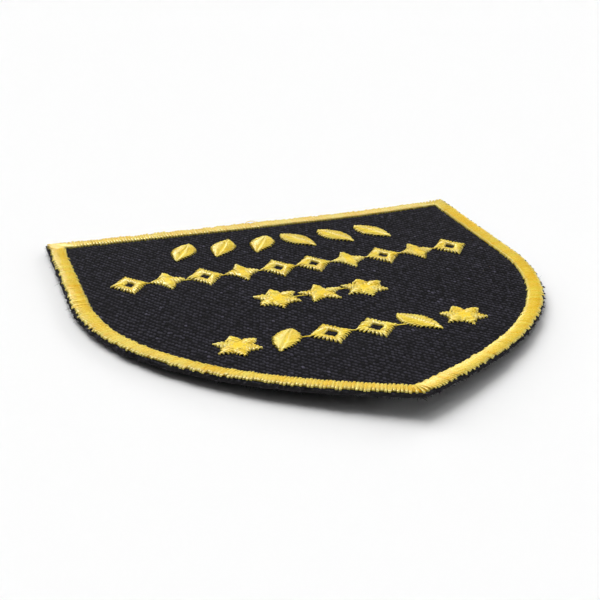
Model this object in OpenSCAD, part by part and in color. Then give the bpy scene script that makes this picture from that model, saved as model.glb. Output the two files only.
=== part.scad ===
// Embroidered shield patch that lies face up, with its point towards -Y.
// The origin is the middle of the cut outline, on the surface that the patch rests on.

/* [Shield] */
// Width across the outer edge of the border
shield_w = 68.8; // [55:0.1:90]
// Height from the border's top edge to its point
shield_h = 71; // [58:0.5:95]
// Length of the straight side below each top corner
side_straight = 26.6; // [16:0.1:34]
// How far the side curve keeps running down, as a share of the drop below the straight side
side_fullness = 0.58; // [0.4:0.01:0.8]
// How far the curve keeps its slope at the point, as a share of half the width
point_fullness = 0.34; // [0.15:0.01:0.5]
// Angle at which the border leaves the point, above level
point_slope = 27.2; // [18:0.1:42]

/* [Cloth] */
// Thickness of the twill with its backing
cloth_t = 1; // [0.8:0.05:2]
// Width of the bare cloth between the border and the cut edge
cut_margin = 0.3; // [0.25:0.05:1.5]
// How much the upper rim of the cut edge is worn round
rim_round = 0.18; // [0.05:0.01:0.3]

/* [Curl] */
// Height to which the point curls up
point_lift = 1.7; // [0:0.1:4]
// Height to which both sides rise
side_lift = 0.15; // [0:0.05:2]
// Height that the top right corner adds to its side
corner_lift = 0.5; // [0:0.05:2]
// Part of the half width, from the middle, that lies flat
flat_side_share = 0.3; // [0.2:0.01:0.6]
// Part of the height, from the top, that lies flat
flat_top_share = 0.48; // [0.4:0.01:0.65]

/* [Border] */
// Width of the satin border
border_w = 2.45; // [1.5:0.05:4]
// Height of its crown above the cloth
border_rise = 0.42; // [0.3:0.02:1.2]

/* [Motifs] */
// Height of each motif
motif_h = 7.1; // [5:0.1:8.5]
// Height of the stitches above the cloth
motif_rise = 0.36; // [0.2:0.02:0.9]
// Width of one satin column
column_w = 1.4; // [0.9:0.05:1.6]
// Angle by which the leaves lean towards the middle
leaf_lean = 28; // [0:1:36]
// Clearance between the stitches and the cloth
stitch_gap = 0.05; // [0.03:0.01:0.2]

/* [Hidden] */
// Columns of the row table: centre below the top edge as a share of shield_h, shift to the right
// and width as shares of shield_w, and the motifs from left to right
c_down = 0;
c_shift = 1;
c_width = 2;
c_kinds = 3;
rows = [
  [0.145, 0.020, 0.560, ["leaf", "leaf", "leaf", "leaf", "leaf", "leaf"]],
  [0.305, 0.006, 0.826, ["lozenge", "spark", "lozenge", "spark", "lozenge",
                         "lozenge", "spark", "lozenge", "spark", "lozenge"]],
  [0.472, 0.006, 0.290, ["rosette", "star", "rosette"]],
  [0.678, -0.002, 0.556, ["rosette", "leaf", "lozenge", "lozenge", "leaf", "rosette"]]
];

// Columns of the motif table: name, width as a share of the row's pitch, points,
// valley radius as a share of the tip radius
k_wide = 1;
k_points = 2;
k_valley = 3;
motif_kinds = [
  ["leaf", 0.6, 0, 0],
  ["lozenge", 0.95, 0, 0],
  ["spark", 0.95, 4, 0.56],
  ["star", 1.08, 5, 0.52],
  ["rosette", 1.05, 6, 0.66]
];

// Section of a satin column: place across it from -1 to 1, and height as a share of its rise
column_dome = [[-1, 0], [-0.8, 0.55], [-0.35, 0.94], [0.35, 0.94], [0.8, 0.55], [1, 0]];
// The border leans on its outer side: share of its width from the outer edge, share of its rise
border_dome = [[0, 0], [0.08, 0.7], [0.28, 0.97], [0.62, 1], [0.9, 0.72], [1, 0]];
// Steps of a solid motif from its edge to its crown: scale of the outline, share of its rise
crown_steps = [[1, 0], [0.86, 0.6], [0.55, 0.94], [0.2, 1]];
// Rings of the cloth from the cut edge to the middle, as scales of the outline
cloth_rings = [1, 0.97, 0.9, 0.8, 0.7, 0.6, 0.5, 0.4, 0.3, 0.15];

half_w = shield_w / 2;
point_margin = cut_margin / cos(point_slope);
top_y = (shield_h + cut_margin + point_margin) / 2 - cut_margin;
face_z = cloth_t + stitch_gap;
top_steps = 8;
side_steps = 7;
curve_steps = 24;
leaf_steps = 7;
// Below 1 the leaf is widest nearer to its tip
leaf_power = 0.85;

motif_names = [for (r = [0 : len(rows) - 1]) for (i = [0 : len(rows[r][c_kinds]) - 1]) motif_name(r, i)];

function motif_name(r, i) = str("row_", r + 1, "_", rows[r][c_kinds][i], "_", i + 1);

// Curl of the resting cloth
function ease(share, start) = pow(max(0, (share - start) / (1 - start)), 2);
function lift(p) =
  let (across = p.x / half_w, down = (top_y - p.y) / shield_h)
  side_lift * ease(abs(across), flat_side_share)
  + corner_lift * ease(max(0, across), flat_side_share) * ease(1 - down, flat_side_share)
  + point_lift * ease(down, flat_top_share);
function draped(p, z) = [p.x, p.y, z + lift(p)];

// Outer edge of the border, clockwise from the middle of the top edge
function bezier(a, b, c, d, t) =
  pow(1 - t, 3) * a + 3 * t * pow(1 - t, 2) * b + 3 * t * t * (1 - t) * c + t * t * t * d;
function right_half() =
  let (
    corner = [half_w, top_y],
    side_end = [half_w, top_y - side_straight],
    point = [0, top_y - shield_h],
    from_side = side_end - [0, side_fullness * (shield_h - side_straight)],
    from_point = point + point_fullness * half_w * [cos(point_slope), sin(point_slope)]
  )
  concat(
    [for (i = [0 : top_steps - 1]) [half_w * i / top_steps, top_y]],
    [for (i = [0 : side_steps - 1]) corner + (side_end - corner) * i / side_steps],
    [for (i = [0 : curve_steps]) bezier(side_end, from_side, from_point, point, i / curve_steps)]
  );
function whole_outline() =
  let (right = right_half(), n = len(right))
  concat(right, [for (i = [n - 2 : -1 : 1]) [-right[i].x, right[i].y]]);

// Mitre directions of a closed path, so that path + d * mitre lies d inside each of its edges
function turned(v) = [v.y, -v.x] / norm(v);
function mitres(path) =
  let (n = len(path))
  [for (i = [0 : n - 1])
    let (
      before = turned(path[i] - path[(i + n - 1) % n]),
      after = turned(path[(i + 1) % n] - path[i])
    )
    (before + after) / (1 + before * after)];
function inset(path, directions, d) = [for (i = [0 : len(path) - 1]) path[i] + d * directions[i]];

// Closed skin over a list of equal rings, with a single point at each end
module skin(first_point, rings, last_point) {
  n = len(rings[0]);
  last_ring = 1 + (len(rings) - 1) * n;
  points = concat([first_point], [for (ring = rings) for (p = ring) p], [last_point]);
  faces = concat(
    [for (i = [0 : n - 1]) [0, 1 + (i + 1) % n, 1 + i]],
    [for (k = [0 : len(rings) - 2]) for (i = [0 : n - 1]) for (face = quad(1 + k * n, 1 + (k + 1) * n, i, n)) face],
    [for (i = [0 : n - 1]) [last_ring + i, last_ring + (i + 1) % n, len(points) - 1]]
  );
  polyhedron(points = points, faces = faces, convexity = 6);
}

// Closed ring of equal sections
module ring_of_sections(sections) {
  m = len(sections[0]);
  count = len(sections);
  points = [for (section = sections) for (p = section) p];
  faces = [for (k = [0 : count - 1]) for (i = [0 : m - 1]) for (face = quad(k * m, ((k + 1) % count) * m, i, m)) face];
  polyhedron(points = points, faces = faces, convexity = 6);
}

function quad(low, high, i, n) =
  let (j = (i + 1) % n)
  [[low + i, low + j, high + j], [low + i, high + j, high + i]];

// One sheet of twill that follows the curl, cut a little outside the border
module ground_cloth() {
  outline = whole_outline();
  directions = mitres(outline);
  cut = inset(outline, directions, -cut_margin);
  rim = inset(outline, directions, rim_round - cut_margin);
  middle = [0, top_y - shield_h * flat_top_share];
  lower = [for (k = [len(cloth_rings) - 1 : -1 : 0]) scaled(cut, middle, cloth_rings[k], 0)];
  upper = [for (k = [1 : len(cloth_rings) - 1]) scaled(cut, middle, cloth_rings[k], cloth_t)];
  edge = [
    [for (p = cut) draped(p, cloth_t - rim_round)],
    [for (p = rim) draped(p, cloth_t)]
  ];
  color([0.12, 0.12, 0.14])
    skin(draped(middle, 0), concat(lower, edge, upper), draped(middle, cloth_t));
}
function scaled(path, middle, share, z) = [for (p = path) draped(middle + share * (p - middle), z)];

// Satin border with a domed section, higher towards its inner side
module border_band() {
  outline = whole_outline();
  directions = mitres(outline);
  sections = [for (i = [0 : len(outline) - 1])
    [for (step = border_dome) draped(outline[i] + step[0] * border_w * directions[i], face_z + step[1] * border_rise)]];
  color([0.93, 0.75, 0.22])
    ring_of_sections(sections);
}

// Raised stitches of one motif, at its place in its row
module motif(r, i) {
  row = rows[r];
  count = len(row[c_kinds]);
  kind_name = row[c_kinds][i];
  kind = motif_kinds[search([kind_name], motif_kinds)[0]];
  pitch = row[c_width] * shield_w / count;
  side = i - (count - 1) / 2;
  centre = [row[c_shift] * shield_w + side * pitch, top_y - row[c_down] * shield_h];
  wide = kind[k_wide] * pitch;
  color([0.95, 0.78, 0.25])
    if (kind_name == "lozenge")
      open_lozenge(centre, wide / 2, motif_h / 2);
    else if (kind_name == "leaf")
      crowned(centre, leaf_outline(wide, side < 0 ? leaf_lean : -leaf_lean));
    else
      crowned(centre, star_outline(kind[k_points], kind[k_valley], wide / 2, motif_h / 2));
}

// Solid motif: its outline stepped up to a crown
module crowned(centre, outline) {
  rings = [for (step = crown_steps)
    [for (p = outline) draped(centre + step[0] * p, face_z + step[1] * motif_rise)]];
  skin(draped(centre, face_z), rings, draped(centre, face_z + motif_rise));
}

// Open lozenge of one satin column
module open_lozenge(centre, half_wide, half_high) {
  outer = [[0, half_high], [half_wide, 0], [0, -half_high], [-half_wide, 0]];
  directions = mitres(outer);
  sections = [for (i = [0 : 3])
    [for (step = column_dome)
      draped(centre + outer[i] + (step[0] + 1) / 2 * column_w * directions[i], face_z + step[1] * motif_rise)]];
  ring_of_sections(sections);
}

// Leaf that stands on its blunt end, turned by its lean
function leaf_outline(wide, lean) =
  let (
    long = motif_h / cos(lean),
    right = [for (k = [0 : leaf_steps]) leaf_edge(k / leaf_steps, long, wide / 2)],
    left = [for (k = [leaf_steps - 1 : -1 : 1]) leaf_edge(k / leaf_steps, long, -wide / 2)]
  )
  [for (p = concat(right, left)) [p.x * cos(lean) + p.y * sin(lean), p.y * cos(lean) - p.x * sin(lean)]];
// Place on the leaf's edge from its tip, share 0, to its foot, share 1
function leaf_edge(share, long, half_wide) =
  [half_wide * sin(180 * pow(share, leaf_power)), long * (0.5 - share)];

// Star or rosette from its tip at the top, clockwise
function star_outline(points, valley, half_wide, half_high) =
  [for (k = [0 : 2 * points - 1])
    let (reach = k % 2 == 0 ? 1 : valley, turn = 180 * k / points)
    [reach * half_wide * sin(turn), reach * half_high * cos(turn)]];

ground_cloth();
border_band();
for (r = [0 : len(rows) - 1])
  for (i = [0 : len(rows[r][c_kinds]) - 1])
    motif(r, i);
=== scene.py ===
import math
import bmesh
import bpy
import numpy as np
from mathutils import Matrix, Vector


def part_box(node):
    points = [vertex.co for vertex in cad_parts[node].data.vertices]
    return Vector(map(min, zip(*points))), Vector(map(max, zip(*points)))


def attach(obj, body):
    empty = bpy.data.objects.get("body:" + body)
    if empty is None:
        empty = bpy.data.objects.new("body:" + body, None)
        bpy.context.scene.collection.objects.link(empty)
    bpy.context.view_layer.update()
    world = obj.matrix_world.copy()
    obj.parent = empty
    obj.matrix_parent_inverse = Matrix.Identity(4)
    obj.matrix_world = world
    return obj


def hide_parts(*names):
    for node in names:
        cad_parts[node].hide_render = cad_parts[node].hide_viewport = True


# Embroidered shield patch: satin stitches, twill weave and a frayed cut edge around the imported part
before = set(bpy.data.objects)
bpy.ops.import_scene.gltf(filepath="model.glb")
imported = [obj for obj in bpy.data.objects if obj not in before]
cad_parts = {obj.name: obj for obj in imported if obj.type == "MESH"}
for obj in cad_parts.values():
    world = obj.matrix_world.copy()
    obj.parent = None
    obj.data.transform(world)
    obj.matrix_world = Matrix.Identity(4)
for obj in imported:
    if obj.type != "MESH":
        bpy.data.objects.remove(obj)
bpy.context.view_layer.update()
mm = 0.001
scene = bpy.context.scene
print("stage: frame loaded,", len(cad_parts), "nodes")

# The shield's outline and curl, the same as the part's own
borderLow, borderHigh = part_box("border_band")
shield = dict(
    halfWidth=(borderHigh.x - borderLow.x) / 2,
    topY=borderHigh.y,
    height=borderHigh.y - borderLow.y,
    sideStraight=26.6 * mm,
    sideFullness=0.58,  # handles of the curve, as shares of its height and of the half width
    pointFullness=0.34,
    pointSlope=math.radians(27.2),
    borderWidth=2.45 * mm,
    cutMargin=0.3 * mm,
    clothThick=1.0 * mm,
    topSteps=8,  # half of the top edge
    sideSteps=7,
    curveSteps=24,
)
curl = dict(
    pointLift=1.7 * mm,
    sideLift=0.15 * mm,
    cornerLift=0.5 * mm,
    flatSide=0.3,  # share of the half width that lies flat
    flatTop=0.48,  # share of the height that lies flat
)


def ease(share, start):
    return np.clip((share - start) / (1 - start), 0, None) ** 2


def clothLift(x, y):
    across = x / shield["halfWidth"]
    down = (shield["topY"] - y) / shield["height"]
    side = curl["sideLift"] * ease(np.abs(across), curl["flatSide"])
    corner = curl["cornerLift"] * ease(np.maximum(across, 0), curl["flatSide"])
    corner = corner * ease(1 - down, curl["flatSide"])
    point = curl["pointLift"] * ease(down, curl["flatTop"])
    return side + corner + point


def clothFace(x, y):
    return clothLift(x, y) + shield["clothThick"]


# Paths are arrays with one point in each row
def unit(rows):
    return rows / np.maximum(np.linalg.norm(rows, axis=1), 1e-9)[:, None]


def leftOf(headings):
    return np.stack([-headings[:, 1], headings[:, 0]], 1)


def closedUp(path):
    return np.concatenate([path, path[:1]])


def walkedAlong(path):
    return np.concatenate([[0], np.cumsum(np.linalg.norm(np.diff(path, axis=0), axis=1))])


def pointsAt(distances, walked, path):
    return np.stack([np.interp(distances, walked, path[:, k]) for k in (0, 1)], 1)


def bezier(a, b, c, d, t):
    t = t[:, None]
    return (1 - t) ** 3 * a + 3 * t * (1 - t) ** 2 * b + 3 * t * t * (1 - t) * c + t ** 3 * d


def shieldOutline():
    # clockwise from the middle of the top edge
    corner = np.array([shield["halfWidth"], shield["topY"]])
    sideEnd = corner - [0, shield["sideStraight"]]
    point = np.array([0, shield["topY"] - shield["height"]])
    fromSide = sideEnd - [0, shield["sideFullness"] * (shield["height"] - shield["sideStraight"])]
    slope = np.array([math.cos(shield["pointSlope"]), math.sin(shield["pointSlope"])])
    fromPoint = point + shield["pointFullness"] * shield["halfWidth"] * slope
    alongTop = np.linspace(0, 1, shield["topSteps"], endpoint=False)[:, None]
    alongSide = np.linspace(0, 1, shield["sideSteps"], endpoint=False)[:, None]
    alongCurve = np.linspace(0, 1, shield["curveSteps"] + 1)
    top = corner * [1, 0] * alongTop + corner * [0, 1]
    side = corner + (sideEnd - corner) * alongSide
    right = np.concatenate([top, side, bezier(sideEnd, fromSide, fromPoint, point, alongCurve)])
    return np.concatenate([right, right[-2:0:-1] * [-1, 1]])


def insetPath(path, distance):
    # mitred copy of a closed clockwise path, that far inside it at each point
    before = -leftOf(unit(path - np.roll(path, 1, 0)))
    after = -leftOf(unit(np.roll(path, -1, 0) - path))
    mitre = (before + after) / (1 + (before * after).sum(1))[:, None]
    return path + distance * mitre


def insideShield(x, y, depth):
    # the outline is convex, so a point lies that deep in it when it is as far right of each clockwise edge
    inside = np.ones(len(x), bool)
    outline = shieldOutline()
    for a, b in zip(outline, np.roll(outline, -1, 0)):
        left = (b[0] - a[0]) * (y - a[1]) - (b[1] - a[1]) * (x - a[0])
        inside &= left <= -depth * math.dist(a, b)
    return inside


# Shader helpers: a wire is a socket that takes part in sums, and a paint is one material
class Wire:
    def __init__(self, paint, socket):
        self.paint = paint
        self.socket = socket

    def join(self, operation, other, swapped=False):
        first, second = (other, self) if swapped else (self, other)
        return self.paint.add("ShaderNodeMath", {"operation": operation}, {0: first, 1: second})

    def __add__(self, other):
        return self.join("ADD", other)

    def __sub__(self, other):
        return self.join("SUBTRACT", other)

    def __rsub__(self, other):
        return self.join("SUBTRACT", other, True)

    def __mul__(self, other):
        return self.join("MULTIPLY", other)

    def __truediv__(self, other):
        return self.join("DIVIDE", other)

    def __rtruediv__(self, other):
        return self.join("DIVIDE", other, True)

    def wave(self):
        # one sine wave for each whole turn, from 0 to 1
        return (self * (2 * math.pi)).join("SINE", 0) * 0.5 + 0.5

    __radd__ = __add__
    __rmul__ = __mul__


class Paint:
    def __init__(self, name):
        self.material = bpy.data.materials.new(name)
        self.material.use_nodes = True
        self.nodes = self.material.node_tree.nodes
        self.links = self.material.node_tree.links
        self.shader = self.nodes["Principled BSDF"]

    def add(self, kind, settings=None, values=None, out=0):
        node = self.nodes.new(kind)
        for key, value in (settings or {}).items():
            setattr(node, key, value)
        for key, value in (values or {}).items():
            self.put(node.inputs[key], value)
        return Wire(self, node.outputs[out])

    def put(self, socket, value):
        if isinstance(value, Wire):
            self.links.new(value.socket, socket)
        else:
            socket.default_value = value

    def mix(self, factor, first, second, blend="MIX"):
        values = {0: factor, 6: first, 7: second}  # 6 and 7, and 2 of the outputs, are the colours
        return self.add("ShaderNodeMix", {"data_type": "RGBA", "blend_type": blend}, values, 2)

    def noise(self, vector, scale, detail=2.0):
        return self.add("ShaderNodeTexNoise", {}, {"Vector": vector, "Scale": scale, "Detail": detail})

    def place(self, scale=(1, 1, 1), turn=0.0):
        where = self.add("ShaderNodeTexCoord", {}, {}, "Object")
        values = {"Vector": where, "Scale": scale, "Rotation": (0, 0, turn)}
        return self.add("ShaderNodeMapping", {}, values)

    def part(self, vector, index):
        return self.add("ShaderNodeSeparateXYZ", {}, {0: vector}, index)

    def reading(self, name):
        return self.add("ShaderNodeAttribute", {"attribute_name": name}, {}, "Fac")

    def bump(self, height, distance, strength):
        return self.add("ShaderNodeBump", {}, {"Height": height, "Distance": distance, "Strength": strength})

    def finish(self, sockets):
        for name, value in sockets.items():
            self.put(self.shader.inputs[name], value)
        return self.material


def colour(red, green, blue):
    return (red, green, blue, 1.0)


# Satin thread: tone differs from strand to strand, the ply twists along each one
satinLook = dict(
    deep=colour(1.0, 0.62, 0.025),
    bright=colour(1.0, 0.81, 0.1),
    paleHighlight=colour(1.0, 0.9, 0.25),  # painted highlight where a stitch bends down at its ends
    ends=0.75,  # how strongly that painted highlight shows
    below=0.75,  # painted shade: how deep in tone the padding between the strands is
    along=colour(0.81, 0.82, 1.33),  # painted shade: multiplied into thread that runs towards the far side, as it shows less light there
    glint=colour(1.0, 0.96, 0.62),
    gloss=0.2,
    # how much each makes the thread brighter, and what is taken off their sum
    strandTone=0.7,
    patchTone=1.8,
    plyTone=0.1,
    toneOffset=0.8,
    plyPitch=0.55,  # mm of thread for one turn
    patchScale=160.0,  # soft patches of lighter thread, per metre
    patchDetail=3.0,
    fibreScale=5200.0,
    plyHeight=0.7,
    fibreHeight=0.6,
    bump=0.007 * mm,
    bumpStrength=0.7,
    roughness=0.18,  # at its smoothest
    fibreRoughness=0.2,
)


def satinPaint(name, look):
    paint = Paint(name)
    uv = paint.add("ShaderNodeUVMap", {"uv_map": "thread"})
    ply = (paint.part(uv, 0) / look["plyPitch"] + paint.part(uv, 1)).wave()
    patches = paint.noise(paint.place(), look["patchScale"], look["patchDetail"])
    fibres = paint.noise(paint.place(), look["fibreScale"])
    light = paint.reading("tone") * look["strandTone"] + patches * look["patchTone"]
    light = light + ply * look["plyTone"] - look["toneOffset"]
    shades = paint.mix(light, look["deep"], look["bright"])
    # painted shade on thread that runs towards the far side
    shades = paint.mix(paint.reading("along"), shades, paint.mix(1.0, shades, look["along"], "MULTIPLY"))
    # painted highlight: paler where a stitch bends at its ends
    shades = paint.mix(paint.reading("bendHighlight") * look["ends"], shades, look["paleHighlight"])
    # painted shade on the padding between the strands
    shades = paint.mix(paint.reading("depth") * look["below"], shades, look["deep"])
    height = ply * look["plyHeight"] + fibres * look["fibreHeight"]
    return paint.finish({
        "Base Color": shades,
        "Roughness": fibres * look["fibreRoughness"] + look["roughness"],
        "Normal": paint.bump(height, look["bump"], look["bumpStrength"]),
        "Specular Tint": look["glint"],
        "Specular IOR Level": look["gloss"],
    })


borderSatin = satinPaint("border_satin", satinLook)
motifSatin = satinPaint(
    "motif_satin", dict(satinLook, deep=colour(0.97, 0.66, 0.027), patchScale=220.0, ends=0.4)
)


# Black twill: matt polyester yarns, each a little lighter or darker
twillLook = dict(
    dark=colour(0.003, 0.003, 0.004),
    light=colour(0.078, 0.073, 0.105),
    gloss=0.03,
    # how much each makes a yarn lighter, and what is taken off their sum
    yarnTone=0.8,
    dyeTone=0.1,
    slubTone=0.5,
    fibreTone=0.15,
    toneOffset=0.4,
    dyeScale=90.0,  # per metre
    dyeDetail=3.0,
    slubScale=1100.0,
    slubStretch=(1.0, 0.5, 1.0),
    slubTurn=0.5,
    fibreScale=4200.0,
    fibreDetail=3.0,
    fibreStretch=(4.0, 0.6, 1.0),
    bump=0.02 * mm,
    bumpStrength=0.6,
    roughness=0.62,  # at its smoothest
    fibreRoughness=0.15,
)


def twillPaint(name, look):
    paint = Paint(name)
    fibres = paint.noise(paint.place(look["fibreStretch"]), look["fibreScale"], look["fibreDetail"])
    dye = paint.noise(paint.place(), look["dyeScale"], look["dyeDetail"])
    slubs = paint.noise(paint.place(look["slubStretch"], look["slubTurn"]), look["slubScale"])
    light = paint.reading("tone") * look["yarnTone"] + dye * look["dyeTone"]
    light = light + slubs * look["slubTone"] + fibres * look["fibreTone"] - look["toneOffset"]
    return paint.finish({
        "Base Color": paint.mix(light, look["dark"], look["light"]),
        "Roughness": fibres * look["fibreRoughness"] + look["roughness"],
        "Normal": paint.bump(fibres, look["bump"], look["bumpStrength"]),
        "Specular IOR Level": look["gloss"],
    })


twillYarn = twillPaint("twill_yarn", twillLook)
edgeFibre = twillPaint("edge_fibre", dict(twillLook, light=colour(0.3, 0.29, 0.33), roughness=0.7))


# The ground under the yarns, with the ribs of the weft, and the backing below, painted near black as the
# shade in the gaps between the floats
clothLook = dict(
    dark=colour(0.002, 0.002, 0.0025),
    light=colour(0.022, 0.021, 0.025),
    cut=colour(0.034, 0.033, 0.036),  # paler fibres where it is cut
    gloss=0.01,
    ribTone=0.3,
    feltTone=0.4,
    feltScale=2600.0,  # per metre
    feltDetail=3.0,
    ribHeight=0.4,
    bump=0.06 * mm,
    bumpStrength=0.8,
    roughness=0.7,  # at its smoothest
    feltRoughness=0.2,
)


def clothPaint(name, look):
    paint = Paint(name)
    where = paint.place()
    ribs = (paint.part(where, 1) / weave["pickPitch"]).wave()
    felt = paint.noise(where, look["feltScale"], look["feltDetail"])
    shades = paint.mix(ribs * look["ribTone"] + felt * look["feltTone"], look["dark"], look["light"])
    return paint.finish({
        "Base Color": paint.mix(paint.reading("cut"), shades, look["cut"]),
        "Roughness": felt * look["feltRoughness"] + look["roughness"],
        "Normal": paint.bump(ribs * look["ribHeight"] + felt, look["bump"], look["bumpStrength"]),
        "Specular IOR Level": look["gloss"],
    })


# Joined copies: a small form made once with operators, then laid down many times
def asForm(bm, origin):
    # share is the place along the form, counted from that height
    bmesh.ops.recalc_face_normals(bm, faces=bm.faces)
    bm.verts.index_update()
    spots = np.array([vert.co[:] for vert in bm.verts])
    faces = [[vert.index for vert in face.verts] for face in bm.faces]
    bm.free()
    return dict(share=spots[:, 2] - origin, side=spots[:, 0], up=spots[:, 1], faces=faces)


def tubeForm(sides, cuts):
    # closed tube from share 0 to 1, its seam underneath
    bm = bmesh.new()
    bmesh.ops.create_cone(bm, cap_ends=True, segments=sides, radius1=1, radius2=1, depth=1)
    bmesh.ops.rotate(bm, verts=bm.verts, matrix=Matrix.Rotation(math.pi / sides, 3, "Z"))
    for cut in cuts:
        everything = bm.verts[:] + bm.edges[:] + bm.faces[:]
        bmesh.ops.bisect_plane(bm, geom=everything, plane_co=(0, 0, cut - 0.5), plane_no=(0, 0, 1))
    return asForm(bm, -0.5)


def markPoints(mesh, name, value):
    # a number at each point that the shaders read; one value stands for all points
    values = np.full(len(mesh.vertices), value, float)
    mesh.attributes.new(name, "FLOAT", "POINT").data.foreach_set("value", values)


def joinForms(name, form, places, tones):
    # places holds one row of points for each copy of the form
    count, size = places.shape[:2]
    faces = [[size * copy + spot for spot in face] for copy in range(count) for face in form["faces"]]
    mesh = bpy.data.meshes.new(name)
    mesh.from_pydata(places.reshape(-1, 3), [], faces)
    markPoints(mesh, "tone", np.repeat(tones, size))
    mesh.shade_smooth()
    mesh.update()
    return mesh


def mapThread(mesh, form, lengths):
    # u is the mm along each copy, v the turns around it
    turn = np.arctan2(form["side"], form["up"]) / (2 * math.pi) + 0.5
    corners = []
    for face in form["faces"]:
        around = turn[face]
        if np.ptp(around) > 0.5:  # the face that holds the seam
            around = np.where(around < 0.5, around + 1, around)
        corners += [(form["share"][spot], value) for spot, value in zip(face, around)]
    uv = np.tile(corners, (len(lengths), 1))
    uv[:, 0] *= np.repeat(lengths / mm, len(corners))
    mesh.uv_layers.new(name="thread").data.foreach_set("uv", uv.ravel())


def finishPiece(name, meshes, material, replaced=()):
    # joins the meshes into one piece, which rides on the part's only body
    bm = bmesh.new()
    for mesh in meshes:
        bm.from_mesh(mesh)
    joined = bpy.data.meshes.new(name)
    bm.to_mesh(joined)
    bm.free()
    joined.materials.append(material)
    piece = bpy.data.objects.new(name, joined)
    scene.collection.objects.link(piece)
    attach(piece, "root")
    if replaced:
        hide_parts(*replaced)
    return piece


# Satin stitches: a thread goes to and fro between two rails and shares a hole with the next
strandShares = (0, 0.03, 0.09, 0.22, 0.5, 0.78, 0.91, 0.97, 1)  # where a stitch bends over its dome
strand = dict(
    sides=5,
    wide=0.38 * mm,
    high=0.13 * mm,
    slender=0.16,  # how much of its width and height it loses at the ends
    slenderPower=0.4,
    pitch=0.46 * mm,  # between holes on one side
    dip=0.1 * mm,  # how far an end goes into the cloth
    bendHighlight=0.35 * mm,  # how much of a stitch at each end is painted paler, as the highlight where it bends
    under=0.045 * mm,  # every other stitch lies that much lower
    ragged=(0.05 * mm, 0.05 * mm),  # how unevenly the holes of each rail lie, along the stitch
    raggedLimits=(-1.5, 2.2),  # into and out of the column, times that
    sway=0.02 * mm,  # how unevenly they lie, beside the stitch
    # the left side and the point are more ragged: places across the shield, and how much there
    looser=((-1, 0, 0.4, 1), (0.9, 1.3, 0.9, 0.5)),
    tone=0.5,
    toneSpread=0.28,
    # the padding's lower tone is painted shade between the strands
    paddingTone=0.3,
    shadeHeading=np.array([0.31, 0.95]),  # the painted shade is strongest on thread that runs this way, which shows the least light
)
strandForm = tubeForm(strand["sides"], strandShares[1:-1])


def alongRails(first, second, spacing, closed):
    # the same places on two rails, evenly spaced on the line between them
    middle = (first + second) / 2
    if closed:
        first, second, middle = (closedUp(rail) for rail in (first, second, middle))
    walked = walkedAlong(middle)
    count = max(4, 2 * round(walked[-1] / spacing / 2))  # even, so that a closed column ends where it starts
    at = np.linspace(0, walked[-1], count + 1)
    return pointsAt(at, walked, first), pointsAt(at, walked, second)


def zigzag(first, second, rng, closed=False, pitch=strand["pitch"], ragged=strand["ragged"]):
    # holes on the first rail, then the second, by turns
    left, right = alongRails(first, second, pitch / 2, closed)
    onFirst = np.arange(len(left)) % 2 == 0
    holes = np.where(onFirst[:, None], left, right)
    across = unit(right - left)
    looser = np.interp(holes[:, 0] / shield["halfWidth"], *strand["looser"])
    spread = np.where(onFirst, -ragged[0] * looser, ragged[1])
    spread = spread * rng.normal(0, 1, len(left)).clip(*strand["raggedLimits"])
    holes = holes + across * spread[:, None]
    holes = holes + leftOf(across) * rng.normal(0, strand["sway"], (len(left), 1))
    if closed:
        holes[-1] = holes[0]
    return holes[:-1], holes[1:]


def layStrands(name, starts, ends, rises, dome, rng, thick=1.0):
    # bends one tube along each stitch, over the dome and into the cloth at both ends
    rises = rises - strand["under"] * (np.arange(len(rises)) % 2)
    share = strandForm["share"][None, :]
    along = ends - starts
    length = np.linalg.norm(along, axis=1)
    heading = unit(along)

    def pathAt(share):
        flat = starts[:, None, :] + along[:, None, :] * share[..., None]
        profile = np.interp(share, *dome)
        height = clothFace(flat[..., 0], flat[..., 1]) - strand["dip"]
        height = height + (rises[:, None] + strand["dip"]) * profile
        return flat, height

    flat, height = pathAt(share)
    reach = 0.02  # share of the stitch over which its slope is taken
    low = np.clip(share - reach, 0, 1)
    high = np.clip(share + reach, 0, 1)
    slope = (pathAt(high)[1] - pathAt(low)[1]) / ((high - low) * length[:, None] + 1e-9)
    tilt = np.sqrt(1 + slope ** 2)
    fullness = np.sin(math.pi * share) ** strand["slenderPower"]
    taper = thick * (1 - strand["slender"] + strand["slender"] * fullness)
    sideways = strandForm["side"] * strand["wide"] / 2 * taper
    upwards = strandForm["up"] * strand["high"] / 2 * taper
    places = np.empty((*height.shape, 3))
    places[..., :2] = flat + leftOf(heading)[:, None, :] * sideways[..., None]
    places[..., :2] -= heading[:, None, :] * (upwards * slope / tilt)[..., None]
    places[..., 2] = height + upwards / tilt
    tones = rng.normal(strand["tone"], strand["toneSpread"], len(starts)).clip(0, 1)
    # painted highlight, strongest at each end of a stitch
    bendHighlights = np.clip(1 - np.minimum(share, 1 - share) * length[:, None] / strand["bendHighlight"], 0, 1)
    mesh = joinForms(name, strandForm, places, tones)
    mapThread(mesh, strandForm, length)
    markPoints(mesh, "bendHighlight", bendHighlights.ravel())
    # painted shade: how much each strand runs towards the far side
    markPoints(mesh, "along", np.repeat((heading @ strand["shadeHeading"]) ** 2, share.size))
    markPoints(mesh, "depth", 0)
    return mesh


def asPadding(mesh):
    # the marks that the thread's shader reads, the same all over; the low tone and full depth paint the
    # padding deeper, as painted shade between the strands
    for name, value in (("tone", strand["paddingTone"]), ("depth", 1), ("bendHighlight", 0), ("along", 0)):
        markPoints(mesh, name, value)
    mesh.uv_layers.new(name="thread")
    mesh.shade_smooth()
    return mesh


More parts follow.
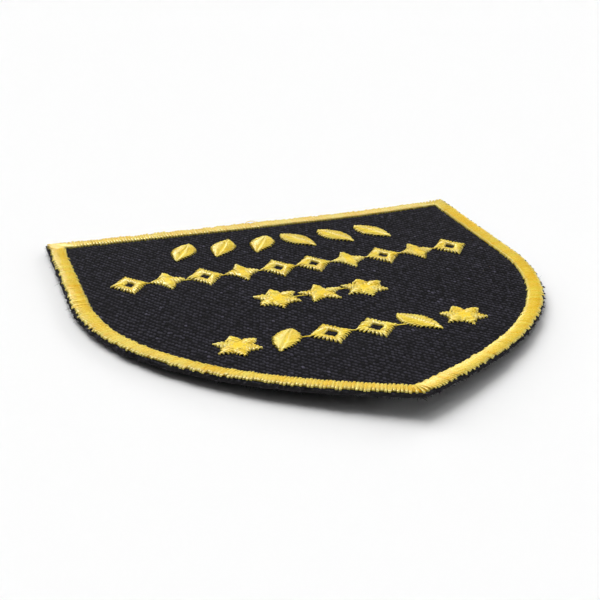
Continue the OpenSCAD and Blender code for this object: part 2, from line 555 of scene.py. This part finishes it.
def nodePadding(node, wide, high):
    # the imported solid, smaller and lower, fills the gaps between strands
    bm = bmesh.new()
    bm.from_mesh(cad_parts[node].data)
    bmesh.ops.remove_doubles(bm, verts=bm.verts, dist=0.001 * mm)
    middle = sum(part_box(node), Vector()) / 2
    for vert in bm.verts:
        height = vert.co.z - float(clothFace(vert.co.x, vert.co.y))
        vert.co = middle + (vert.co - middle) * wide
        vert.co.z = float(clothFace(vert.co.x, vert.co.y)) + height * high
    mesh = bpy.data.meshes.new(node)
    bm.to_mesh(mesh)
    bm.free()
    return asPadding(mesh)


def ringSkin(name, rings, closed=True):
    # skin over rings of as many points; closed joins the last to the first, or both ends are filled
    bm = bmesh.new()
    bmesh.ops.create_circle(bm, segments=len(rings[0]), radius=1)
    verts, edges = bm.verts[:], bm.edges[:]
    first = edges
    for count, ring in enumerate(rings):
        if count:
            grown = bmesh.ops.extrude_edge_only(bm, edges=edges)["geom"]
            edges = [part for part in grown if isinstance(part, bmesh.types.BMEdge)]
            verts = [part for part in grown if isinstance(part, bmesh.types.BMVert)]
        for vert, spot in zip(verts, ring):
            vert.co = spot
    if closed:
        bmesh.ops.bridge_loops(bm, edges=first + edges)
    else:
        bmesh.ops.holes_fill(bm, edges=bm.edges, sides=len(rings[0]))
    bmesh.ops.recalc_face_normals(bm, faces=bm.faces)
    mesh = bpy.data.meshes.new(name)
    bm.to_mesh(mesh)
    bm.free()
    mesh.shade_smooth()
    return mesh


# Border: one satin column round the shield, a little ragged outside
border = dict(
    rise=0.3 * mm,
    uneven=0.01 * mm,  # how much the rise differs from stitch to stitch
    pitch=0.48 * mm,
    outset=0.1 * mm,  # at the point, and as far inwards at the sides
    slim=0.25 * mm,  # the band is that much narrower at the right side
    ragged=(0.15 * mm, 0.08 * mm),
    dome=(strandShares, (0.55, 0.8, 0.92, 1.0, 0.98, 0.9, 0.8, 0.68, 0)),  # from the outside in
    thick=1.03,  # of a strand
    # inset from the outline in mm and share of the rise, round the padding below the stitches
    padding=((0.3, 0), (0.45, 0.5), (0.9, 0.75), (1.6, 0.75), (2.05, 0.5), (2.2, 0)),
    seed=11,
)


def makeBorder():
    rng = np.random.default_rng(border["seed"])
    outline = shieldOutline()
    across = outline[:, :1] / shield["halfWidth"]
    inner = insetPath(outline, shield["borderWidth"] - border["slim"] * across.clip(0, 1))
    outer = insetPath(outline, border["outset"] * (2 * np.abs(across) - 1))
    starts, ends = zigzag(outer, inner, rng, True, border["pitch"], border["ragged"])
    # every stitch is laid from the outside in, so that the dome leans one way
    flip = np.arange(len(starts))[:, None] % 2 == 1
    starts, ends = np.where(flip, ends, starts), np.where(flip, starts, ends)
    rises = border["rise"] + rng.normal(0, border["uneven"], len(starts))
    strands = layStrands("border_strands", starts, ends, rises, border["dome"], rng, border["thick"])
    rings = []
    for inset, level in border["padding"]:
        ring = insetPath(outline, inset * mm)
        rings.append(np.column_stack([ring, clothFace(*ring.T) + level * border["rise"]]))
    meshes = [asPadding(ringSkin("border_padding", rings)), strands]
    return finishPiece("border_satin", meshes, borderSatin, ["border_band"])


# Motifs: each is a few satin columns, given as pairs of rails
motif = dict(
    rise=0.27 * mm,
    uneven=0.02 * mm,
    fullWidth=1.4 * mm,  # a column this wide has its full rise
    columnWidth=1.4 * mm,
    narrowest=0.3 * mm,  # a shorter stitch is left out
    leafLean=math.radians(28),
    leafWide=0.6,  # share of the pitch of its row
    leafPower=0.85,
    leafSlant=0.16,  # how far a stitch climbs from the vein to the edge, share of the leaf
    leafTip=0.02,  # share of the leaf at each end that has no stitch
    leafSteps=15,
    dome=(strandShares, (0, 0.5, 0.7, 0.9, 1.0, 0.9, 0.7, 0.5, 0)),
    # arms, and how far out the valleys between them lie, share of a tip's distance
    stars={"spark": (4, 0.56), "star": (5, 0.52), "rosette": (6, 0.66)},
    core=0.12,  # where an arm's columns begin, share of a valley's distance
    # padding below the stitches, share of the width and of the height; an open lozenge has none
    padding={"spark": (0.84, 0.6), "star": (0.84, 0.6), "rosette": (0.84, 0.6), "leaf": (0.84, 0.42)},
    seed=7,
)


def fitted(shapes, low, high):
    # moves and scales the rails so that together they fill the node's box
    every = np.concatenate([rail for pair in shapes for rail in pair])
    scale = (high - low) / np.ptp(every, axis=0)
    return [[low + (rail - every.min(0)) * scale for rail in pair] for pair in shapes]


def starColumns(points, valley, low, high):
    shapes = []
    half = math.pi / points
    for arm in range(points):
        turn = 2 * math.pi * arm / points
        tip = np.array([math.sin(turn), math.cos(turn)])
        left = valley * np.array([math.sin(turn - half), math.cos(turn - half)])
        right = valley * np.array([math.sin(turn + half), math.cos(turn + half)])
        shapes.append([np.array([side * motif["core"], side, tip]) for side in (left, right)])
    return fitted(shapes, low, high)


def lozengeColumns(low, high):
    outer = (low + high) / 2 + (high - low) / 2 * np.array([[0, 1], [1, 0], [0, -1], [-1, 0]])
    inner = insetPath(outer, motif["columnWidth"])
    return [[outer[[k, (k + 1) % 4]], inner[[k, (k + 1) % 4]]] for k in range(4)]


def leafColumns(low, high, lean, wide):
    # two columns that meet at the vein, with stitches that climb towards the tip
    share = np.linspace(motif["leafTip"], 1 - motif["leafTip"], motif["leafSteps"])
    long = (high[1] - low[1]) / math.cos(lean)
    turn = np.array([[math.cos(lean), -math.sin(lean)], [math.sin(lean), math.cos(lean)]])
    up = np.clip(share - motif["leafSlant"] * np.sin(math.pi * share), 0, 1)
    swell = wide / 2 * np.sin(math.pi * up ** motif["leafPower"])
    vein = np.stack([0 * share, long * (0.5 - share)], 1)
    middle = (low + high) / 2
    columns = []
    for side in (-1, 1):
        edge = np.stack([side * swell, long * (0.5 - up)], 1)
        columns.append([middle + vein @ turn, middle + edge @ turn])
    return columns


def motifColumns(node, kind, nodesInRow):
    low, high = (np.array(corner[:2]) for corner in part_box(node))
    if kind in motif["stars"]:
        return starColumns(*motif["stars"][kind], low, high)
    if kind == "lozenge":
        return lozengeColumns(low, high)
    centres = sorted(sum(corner.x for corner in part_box(other)) / 2 for other in nodesInRow)
    pitch = (centres[-1] - centres[0]) / (len(centres) - 1)
    leftHalf = (low[0] + high[0]) / 2 < sum(centres) / len(centres)
    lean = motif["leafLean"] if leftHalf else -motif["leafLean"]
    return leafColumns(low, high, lean, motif["leafWide"] * pitch)


def makeMotif(node, nodesInRow, rng):
    kind = node.split("_")[2]
    meshes = []
    if kind in motif["padding"]:
        meshes.append(nodePadding(node, *motif["padding"][kind]))
    for index, (first, second) in enumerate(motifColumns(node, kind, nodesInRow)):
        starts, ends = zigzag(first, second, rng)
        width = np.linalg.norm(ends - starts, axis=1)
        keep = width > motif["narrowest"]
        starts, ends, width = starts[keep], ends[keep], width[keep]
        rises = motif["rise"] * np.sqrt(np.minimum(1, width / motif["fullWidth"]))
        rises = rises + rng.normal(0, motif["uneven"], len(rises))
        meshes.append(layStrands(f"{node}_{index}", starts, ends, rises, motif["dome"], rng))
    return finishPiece(node + "_satin", meshes, motifSatin, [node])


def motifRows():
    # the motif nodes of each row, from left to right
    rows = {}
    for node in sorted(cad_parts):
        if node.startswith("row_"):
            rows.setdefault(node.split("_")[1], []).append(node)
    return [sorted(nodes, key=lambda node: int(node.split("_")[3])) for nodes in rows.values()]


# Ground cloth: one curled sheet with a rough cut edge
cloth = dict(
    step=0.35 * mm,  # along the cut edge
    rough=0.07 * mm,  # how uneven the cut wall is
    closerSides=0.9,  # share of the margin that is missing at the sides
    thinner=((-0.4, 0.1), (0, 0.3)),  # share of the thickness cut away below, from left to right
    cornerRound=0.5 * mm,  # how far from a corner the cut starts to turn
    offCentre=(-0.08 * mm, 0),  # the cut lies a little to the left of the border
    wander=0.07 * mm,  # how far the cut wanders in and out
    waves=(25, 140),  # fewest and most bumps of that round the patch
    # scale of the outline, share of the thickness, outward bulge in mm of each ring from back to face
    rings=(
        (0.2, 0, 0), (0.45, 0, 0), (0.7, 0, 0), (0.88, 0, 0), (0.96, 0.17, 0), (1, 0.4, -0.06),
        (1, 0.52, 0.02), (1, 0.68, 0.05), (1, 0.83, 0.0), (1, 0.97, -0.12), (0.9, 0.97, 0), (0.7, 0.97, 0),
        (0.45, 0.97, 0), (0.2, 0.97, 0),
    ),
    thinFrom=0.95,  # rings of a larger scale are thinned
    waveSeed=3,
    seed=5,
)


def cutOutline(step):
    # points of the cut edge at an even step
    outline = shieldOutline()
    sides = np.abs(outline[:, :1]) / shield["halfWidth"]
    outline = insetPath(outline, -shield["cutMargin"] * (1 - cloth["closerSides"] * sides))
    blank = closedUp(outline)
    walked = walkedAlong(blank)
    share = np.linspace(0, 1, round(walked[-1] / step), endpoint=False)
    edge = pointsAt(share * walked[-1], walked, blank)
    near = round(cloth["cornerRound"] / step)
    edge = sum(np.roll(edge, k, 0) for k in range(-near, near + 1)) / (2 * near + 1)
    rng = np.random.default_rng(cloth["waveSeed"])
    waves = np.arange(*cloth["waves"])
    bumps = np.sin(2 * math.pi * share[:, None] * waves + rng.uniform(0, 2 * math.pi, len(waves)))
    bumps = bumps @ rng.normal(0, math.sqrt(2 / len(waves)), len(waves))
    outward = leftOf(unit(np.roll(edge, -1, 0) - np.roll(edge, 1, 0)))
    return edge + outward * bumps[:, None] * cloth["wander"] + cloth["offCentre"]


def makeCloth():
    rng = np.random.default_rng(cloth["seed"])
    edge = cutOutline(cloth["step"])
    middle = np.array([0, shield["topY"] - shield["height"] * curl["flatTop"]])
    outward = unit(edge - middle)
    rings = []
    for scale, level, bulge in cloth["rings"]:
        flat = middle + scale * (edge - middle)
        if scale > cloth["thinFrom"]:
            level = 1 - (1 - level) * (1 - np.interp(edge[:, 0] / shield["halfWidth"], *cloth["thinner"]))
        if scale == 1:
            flat = flat + outward * rng.normal(bulge * mm, cloth["rough"], (len(edge), 1))
        rings.append(np.column_stack([flat, clothLift(*flat.T) + level * shield["clothThick"]]))
    mesh = ringSkin("ground_cloth", rings, False)
    cut = [float(scale == 1) for scale, level, bulge in cloth["rings"]]
    markPoints(mesh, "cut", np.repeat(cut, len(edge)))
    x, y = edge.T
    area = 0.5 * abs(np.sum(x * np.roll(y, -1) - np.roll(x, -1) * y))
    paint = clothPaint("ground_cloth", clothLook)
    piece = finishPiece("ground_cloth_sheet", [mesh], paint, ["ground_cloth"])
    return piece, area, np.ptp(edge, axis=0)


# Twill weave: a float of each warp yarn over two picks, one pick lower on the next yarn
weave = dict(
    endPitch=0.305 * mm,
    pickPitch=0.51 * mm,
    repeat=3,
    long=0.86 * mm,
    wide=0.44 * mm,
    high=0.1 * mm,
    sides=5,
    full=0.5,  # share of a float between its pointed ends
    tipDrop=0.3,  # how far the points dip, share of half the height
    sink=0.03 * mm,  # how far the floats lie in the cloth
    spare=1 * mm,  # laid past the sides, before what is outside is dropped
    spareRows=4,
    underBorder=0.35 * mm,  # how far the weave goes on below the border
    rim=(0.12 * mm, 0.25 * mm),  # outside it, from that far inside the cut to that far inside the outline
    jitter=0.025 * mm,  # how far a float is out of place
    slide=5,  # times as much along the yarn
    unevenSize=0.06,
    unevenLength=0.18,
    tone=0.32,
    toneSpread=0.09,
    dark=0.05,  # share of yarns painted dark, as painted shade in the gaps of the weave
    fleckAndGlint=0.012,  # share of yarns painted bright, for a loose fibre on them and its painted highlight
    seed=23,
)


def floatForm():
    # a pillow with pointed ends, flat underneath
    bm = bmesh.new()
    sides, full = weave["sides"], weave["full"]
    bmesh.ops.create_cone(bm, cap_ends=False, segments=sides, radius1=1, radius2=1, depth=full)
    bmesh.ops.rotate(bm, verts=bm.verts, matrix=Matrix.Rotation(math.pi / 2, 3, "Z"))
    for end in (-1, 1):
        rim = [edge for edge in bm.edges if all(vert.co.z * end > 0 for vert in edge.verts)]
        bmesh.ops.holes_fill(bm, edges=rim, sides=sides)
        cap = [face for face in bm.faces if all(vert.co.z * end > 0 for vert in face.verts)]
        spike = bmesh.ops.poke(bm, faces=cap)["verts"]
        bmesh.ops.translate(bm, verts=spike, vec=(0, -weave["tipDrop"], (1 - full) / 2 * end))
    return asForm(bm, 0)


def makeTwill():
    rng = np.random.default_rng(weave["seed"])
    form = floatForm()
    endCount = int((shield["halfWidth"] + weave["spare"]) / weave["endPitch"])
    rowCount = int(shield["height"] / weave["pickPitch"] / weave["repeat"]) + weave["spareRows"]
    ends, repeats = np.meshgrid(np.arange(-endCount, endCount + 1), np.arange(-1, rowCount), indexing="ij")
    x = ends.ravel() * weave["endPitch"]
    picks = repeats.ravel() * weave["repeat"] + ends.ravel() % weave["repeat"]
    y = shield["topY"] - picks * weave["pickPitch"]
    face = insideShield(x, y, shield["borderWidth"] - weave["underBorder"])
    rim = insideShield(x, y, weave["rim"][0] - shield["cutMargin"]) & ~insideShield(x, y, weave["rim"][1])
    keep = face | rim
    x, y = x[keep], y[keep]
    x = x + rng.normal(0, weave["jitter"], len(x))
    y = y + rng.normal(0, weave["jitter"] * weave["slide"], len(y))
    size = 1 + rng.normal(0, weave["unevenSize"], (len(x), 1))
    long = weave["long"] * (1 + rng.normal(0, weave["unevenLength"], (len(x), 1)))
    places = np.empty((len(x), len(form["share"]), 3))
    places[..., 0] = x[:, None] + form["side"] * weave["wide"] / 2 * size
    places[..., 1] = y[:, None] + form["share"] * long
    lift = clothFace(places[..., 0], places[..., 1])
    places[..., 2] = lift - weave["sink"] + form["up"] * weave["high"] / 2 * size
    tones = rng.normal(weave["tone"], weave["toneSpread"], len(x)).clip(0, 1)
    # painted shade: some yarns dark all over
    tones[rng.random(len(x)) < weave["dark"]] = 0
    # a loose fibre and its painted highlight: some yarns bright all over
    tones[rng.random(len(x)) < weave["fleckAndGlint"]] = 1
    mesh = joinForms("twill", form, places, tones)
    return finishPiece("twill_weave", [mesh], twillYarn)


# Loose fibres: bent hairs all round the cut edge, some of them in tufts
edgeFray = dict(
    count=2400,
    tufts=45,
    perTuft=16,
    step=0.1 * mm,  # between places where a hair can start
    tuftReach=2,  # steps to each side
    tangentReach=3,  # steps to each side, between which the edge's direction is taken
    inside=0.12 * mm,  # a hair starts that far inside the cut
    level=(0.42, 1.02),  # share of the thickness
    splay=0.75,  # how much the hairs lean along the edge
    rise=0.05,
    riseSpread=0.3,
    length=0.26 * mm,
    evenLength=3.0,  # a larger number makes the lengths more alike
    lengthLimits=(0.15 * mm, 1.0 * mm),
    right=0.6,  # share of the length that hairs of the right half have
    thick=0.06 * mm,
    thickLimits=(0.6, 1.3),  # times that
    swing=0.35,
    droop=0.15,
    pointed=0.6,  # share of the thickness that is lost at the tip
    clear=0.02 * mm,  # above the floor
    sides=3,
    cuts=(0.35, 0.7),  # shares of a hair at which it bends
    seed=31,
)
hairForm = tubeForm(edgeFray["sides"], edgeFray["cuts"])


def layHairs(name, starts, headings, lengths, thick, rng):
    # bends one thin tube from each start along its heading
    share = hairForm["share"][None, :, None]
    swing = rng.normal(0, edgeFray["swing"], (len(starts), 1, 3))
    droop = np.array([0, 0, -edgeFray["droop"]])
    path = headings[:, None, :] * share + swing * share ** 2 + droop * share ** 2
    path = starts[:, None, :] + lengths[:, None, None] * path
    beside = unit(np.cross(headings, [0, 0, 1.0]))
    above = np.cross(beside, headings)
    taper = (1 - edgeFray["pointed"] * share) * thick[:, None, None] / 2
    places = path + beside[:, None, :] * hairForm["side"][None, :, None] * taper
    places = places + above[:, None, :] * hairForm["up"][None, :, None] * taper
    places[..., 2] = np.maximum(places[..., 2], edgeFray["clear"])
    return joinForms(name, hairForm, places, rng.uniform(0, 1, len(starts)))


def makeFray():
    rng = np.random.default_rng(edgeFray["seed"])
    edge = cutOutline(edgeFray["step"])
    tufts = np.repeat(rng.integers(0, len(edge), edgeFray["tufts"]), edgeFray["perTuft"])
    tufts += rng.integers(-edgeFray["tuftReach"], edgeFray["tuftReach"] + 1, len(tufts))
    pick = np.concatenate([rng.integers(0, len(edge), edgeFray["count"]), tufts]) % len(edge)
    near = edgeFray["tangentReach"]
    tangent = unit(np.roll(edge, -near, 0) - np.roll(edge, near, 0))
    outward = leftOf(tangent)[pick]
    spot = edge[pick] - outward * edgeFray["inside"]
    level = rng.uniform(*edgeFray["level"], len(pick)) * shield["clothThick"]
    starts = np.column_stack([spot, clothLift(*spot.T) + level])
    flat = outward + tangent[pick] * rng.normal(0, edgeFray["splay"], (len(pick), 1))
    rise = rng.normal(edgeFray["rise"], edgeFray["riseSpread"], len(pick))
    headings = unit(np.column_stack([flat, rise]))
    even = edgeFray["evenLength"]
    lengths = rng.gamma(even, edgeFray["length"] / even, len(pick)).clip(*edgeFray["lengthLimits"])
    lengths *= np.where(spot[:, 0] > 0, edgeFray["right"], 1)
    thick = rng.uniform(*edgeFray["thickLimits"], len(pick)) * edgeFray["thick"]
    mesh = layHairs("fray", starts, headings, lengths, thick, rng)
    return finishPiece("edge_fray", [mesh], edgeFibre)


# Jump threads: the thread carried from one motif to the next, low on the cloth
jump = dict(
    rise=0.1 * mm,
    thick=0.7,  # of a strand
    stray=0.15 * mm,
    reach=1.3 * mm,  # how far it runs on below each motif
    longest=1.2 * mm,  # over a wider gap the thread is cut off
    dome=((0, 0.12, 0.3, 0.5, 0.7, 0.88, 1), (0, 0.75, 0.95, 1.0, 0.95, 0.75, 0)),
    seed=47,
)
# one loose loop stands up from the top of the border
loop = dict(left=-1.7 * mm, right=0.5 * mm, inset=0.15 * mm, rise=0.62 * mm)


def makeJumps(rows):
    rng = np.random.default_rng(jump["seed"])
    starts, ends = [], []
    for nodes in rows:
        for left, right in zip(nodes, nodes[1:]):
            leftLow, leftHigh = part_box(left)
            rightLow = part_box(right)[0]
            if rightLow.x - leftHigh.x > jump["longest"]:
                continue
            level = (leftLow.y + leftHigh.y) / 2 + rng.normal(0, jump["stray"])
            starts.append((leftHigh.x - jump["reach"], level))
            ends.append((rightLow.x + jump["reach"], level + rng.normal(0, jump["stray"])))
    rises = np.append(np.full(len(starts), jump["rise"]), loop["rise"])
    starts = np.array([*starts, (loop["left"], shield["topY"] - loop["inset"])])
    ends = np.array([*ends, (loop["right"], shield["topY"] - loop["inset"])])
    mesh = layStrands("jumps", starts, ends, rises, jump["dome"], rng, jump["thick"])
    return finishPiece("jump_threads", [mesh], motifSatin)


clothSheet, clothArea, clothSize = makeCloth()
print("stage: ground cloth, flat area", round(clothArea * 1e6), "mm2")
twill = makeTwill()
print("stage: twill weave")
borderPiece = makeBorder()
print("stage: border")
rows = motifRows()
stitchRng = np.random.default_rng(motif["seed"])
motifPieces = [makeMotif(node, nodes, stitchRng) for nodes in rows for node in nodes]
print("stage:", len(motifPieces), "motifs")
fray = makeFray()
jumps = makeJumps(rows)
print("stage: loose fibres and jump threads")

# Floor, light and camera
view = dict(
    target=Vector((-2.54, 2.96, 0)) * mm,
    turn=math.radians(-18.09),
    elevation=math.radians(22.04),
    roll=math.radians(-0.35),
    distance=172.6 * mm,
    lens=72.0,
    sensor=36.0,
    clipStart=5 * mm,
)
studio = dict(
    floorSize=20.0,
    floorColour=colour(0.91, 0.91, 0.91),
    floorRoughness=0.9,
    worldColour=colour(1, 1, 1),
    worldStrength=0.055,
    # bearing from the far side towards the left, elevation, spread in degrees, share of the floor's light
    lamps=dict(
        key=(27, 46, 48, 0.6),
        back=(-24, 20, 18, 0.103),
        left=(50, 18, 16, 0.052),
        top=(0, 72, 50, 0.155),
        right=(-60, 42, 50, 0.06),
        low=(-97, 14, 18, 0.04),
        front=(180, 55, 50, 0.02),
    ),
    # seen only in the gloss of the thread, where a stitch bends towards them
    gleams=dict(leftGleam=(28, 45, 22, 1.4), rightGleam=(-60, 42, 30, 1.2)),
)


def towards(bearing, elevation):
    # direction from the patch, with the bearing counted as for the lamps
    turn = view["turn"] + bearing
    flat = math.cos(elevation)
    return Vector((-math.sin(turn) * flat, math.cos(turn) * flat, math.sin(elevation)))


def makeFloor():
    bm = bmesh.new()
    bmesh.ops.create_grid(bm, x_segments=1, y_segments=1, size=studio["floorSize"] / 2)
    mesh = bpy.data.meshes.new("floor")
    bm.to_mesh(mesh)
    bm.free()
    floor = bpy.data.objects.new("floor", mesh)
    scene.collection.objects.link(floor)
    mesh.materials.append(Paint("floor").finish({
        "Base Color": studio["floorColour"],
        "Roughness": studio["floorRoughness"],
        "Specular IOR Level": 0.0,
    }))


def makeLamp(name, bearing, elevation, spread, share, gloss=False):
    # a wide sun, so that the floor is evenly lit; share is what it adds to a white floor
    height = math.radians(elevation)
    light = bpy.data.lights.new(name, "SUN")
    light.angle = math.radians(spread)
    light.energy = math.pi * share / math.sin(height)
    lamp = bpy.data.objects.new(name, light)
    lamp.visible_diffuse = not gloss
    lamp.visible_glossy = gloss
    lamp.location = towards(math.radians(bearing), height)
    lamp.rotation_euler = (-lamp.location).to_track_quat("-Z", "Y").to_euler()
    scene.collection.objects.link(lamp)


def makeWorld():
    world = bpy.data.worlds.new("studio")
    scene.world = world
    world.use_nodes = True
    background = world.node_tree.nodes["Background"]
    background.inputs["Color"].default_value = studio["worldColour"]
    background.inputs["Strength"].default_value = studio["worldStrength"]
    scene.view_settings.view_transform = "Standard"


def makeCamera():
    lens = bpy.data.cameras.new("camera")
    lens.lens = view["lens"]
    lens.sensor_width = view["sensor"]
    lens.clip_start = view["clipStart"]
    camera = bpy.data.objects.new("camera", lens)
    back = towards(math.pi, view["elevation"])
    camera.location = view["target"] + back * view["distance"]
    aim = (-back).to_track_quat("-Z", "Y").to_matrix() @ Matrix.Rotation(view["roll"], 3, "Z")
    camera.rotation_euler = aim.to_euler()
    scene.collection.objects.link(camera)
    scene.camera = camera


makeFloor()
for name, settings in studio["lamps"].items():
    makeLamp(name, *settings)
for name, settings in studio["gleams"].items():
    makeLamp(name, *settings, gloss=True)
makeWorld()
makeCamera()
print("stage: floor, lights and camera")
